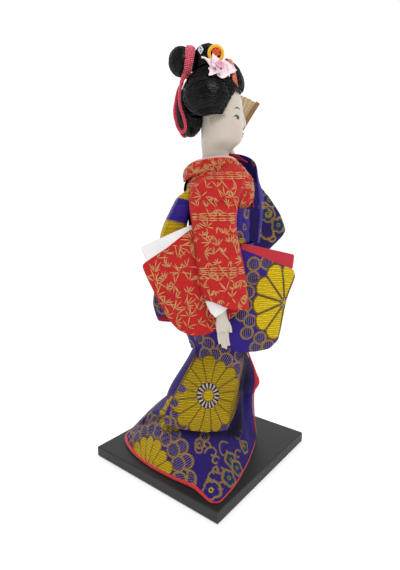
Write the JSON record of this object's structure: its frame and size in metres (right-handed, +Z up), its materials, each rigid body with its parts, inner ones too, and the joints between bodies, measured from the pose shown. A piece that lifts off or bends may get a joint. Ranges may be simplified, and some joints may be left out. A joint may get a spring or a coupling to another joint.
{
  "type": "display doll",
  "caption": "Dressed display doll in layered brocade kimono with trailing hem, dressed hair, raised fan and a turning head, standing on a square black board.",
  "frame": {"origin": "centre of the square board's underside", "axes": "+Z up along the body's axis; +X to the doll's own left; +Y to its back, so the face looks along -Y; the board stands cornerwise with its corners on X and Y"},
  "size_m": [0.1698, 0.1698, 0.308],
  "materials": {
    "black_board": "dull black lacquer with fine scuffs along the edges",
    "rod_wood": "plain turned wood",
    "padding": "wound cotton padding under the clothes",
    "purple_brocade": "ribbed figured weave, purple with yellow and gold figures",
    "red_brocade": "ribbed figured weave, red with pale gold bamboo",
    "obi_brocade": "ribbed figured weave, yellow and purple bands",
    "crimson_lining": "plain crimson lining cloth",
    "white_lining": "plain white lining cloth",
    "pink_collar": "pale rose crepe",
    "arm_wire": "drawn wire",
    "painted_skin": "smooth off-white paint, features painted by hand",
    "hair_fibre": "glossy black combed fibre",
    "rose_crepe": "dimpled rose crepe",
    "coral_ribbon": "coral ribbon with fine gold glitter",
    "pink_satin": "pale pink satin",
    "gold_trim": "yellow moulded ring",
    "red_foil": "crumpled red-orange foil",
    "silver_metal": "polished metal",
    "fan_wood": "dark stained bamboo",
    "fan_paper": "folded beige paper"
  },
  "bodies": {
    "body": {"base_board": "black_board", "stand_rod": "rod_wood", "body_core": "padding", "train": "purple_brocade", "train_hem_roll": "crimson_lining", "front_edge_lining": "crimson_lining", "outer_skirt": "purple_brocade", "red_bodice": "red_brocade", "inner_collar": "pink_collar", "red_collar": "red_brocade", "kimono_bodice": "purple_brocade", "collar_band": "purple_brocade", "collar_lining": "crimson_lining", "obi_wrap": "purple_brocade", "obi_bow": "obi_brocade", "right_sleeve": "red_brocade", "right_sleeve_lining": "white_lining", "right_cuff_lining": "white_lining", "slipped_sleeve": "purple_brocade", "slipped_sleeve_lining": "crimson_lining", "left_sleeve": "purple_brocade", "left_sleeve_lining": "crimson_lining", "right_arm_wire": "arm_wire", "left_arm_wire": "arm_wire", "right_hand": "painted_skin", "left_hand": "painted_skin", "fan_front_guard": "fan_wood", "fan_inner_stick": "fan_wood", "fan_rear_guard": "fan_wood", "fan_rivet": "silver_metal", "fan_leaf": "fan_paper"},
    "head": {"head": "painted_skin", "hair_front": "hair_fibre", "right_side_hair": "hair_fibre", "left_side_hair": "hair_fibre", "back_hair": "hair_fibre", "topknot": "hair_fibre", "hair_tie": "rose_crepe", "hair_cord_right": "rose_crepe", "hair_cord_left": "rose_crepe", "front_ribbon": "coral_ribbon", "flower_petals": "pink_satin", "flower_throat": "pink_satin", "ring_ornament": "gold_trim", "ring_foil": "red_foil", "silver_pin": "silver_metal"}
  },
  "joints": [
    {"name": "head_turn", "type": "hinge", "parent": "body", "child": "head", "pos_m": [0, -0.015, 0.2226], "axis": [0, 0, 1], "range_deg": [-15, 15]}
  ]
}
